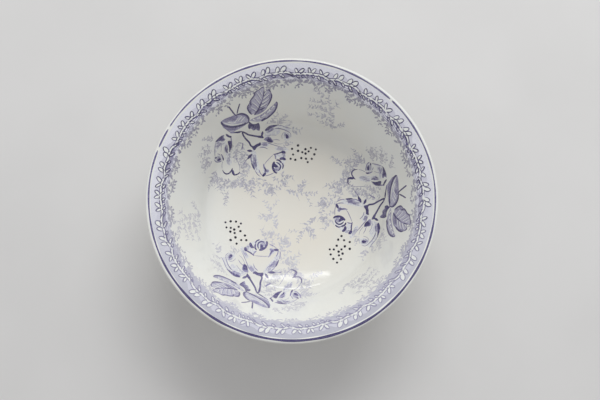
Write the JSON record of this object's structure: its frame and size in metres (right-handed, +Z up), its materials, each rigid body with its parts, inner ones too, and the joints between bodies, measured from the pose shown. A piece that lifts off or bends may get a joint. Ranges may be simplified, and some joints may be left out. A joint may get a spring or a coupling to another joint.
{
  "type": "porcelain serving bowl",
  "caption": "Round porcelain serving bowl with a steep wall, a narrow flat flange with a rolled lip, a shallow dished floor and a bare foot ring.",
  "frame": {"origin": "on the bowl's axis, in the plane of the foot ring's standing edge", "axes": "+Z up along the bowl's axis, out of its mouth; X and Y are any two square directions, as the bowl is round"},
  "size_m": [0.24, 0.24, 0.079],
  "materials": {
    "clay": "fired porcelain clay, unglazed, opaque",
    "foot_clay": "fired porcelain clay, unglazed, opaque, worn on its standing edge",
    "glaze": "glossy cream glaze, opaque",
    "under_glaze": "glossy cream glaze, opaque"
  },
  "bodies": {
    "root": {"bowl_body": "clay", "foot_ring": "foot_clay", "glaze_coat": "glaze", "base_glaze": "under_glaze"}
  },
  "joints": []
}
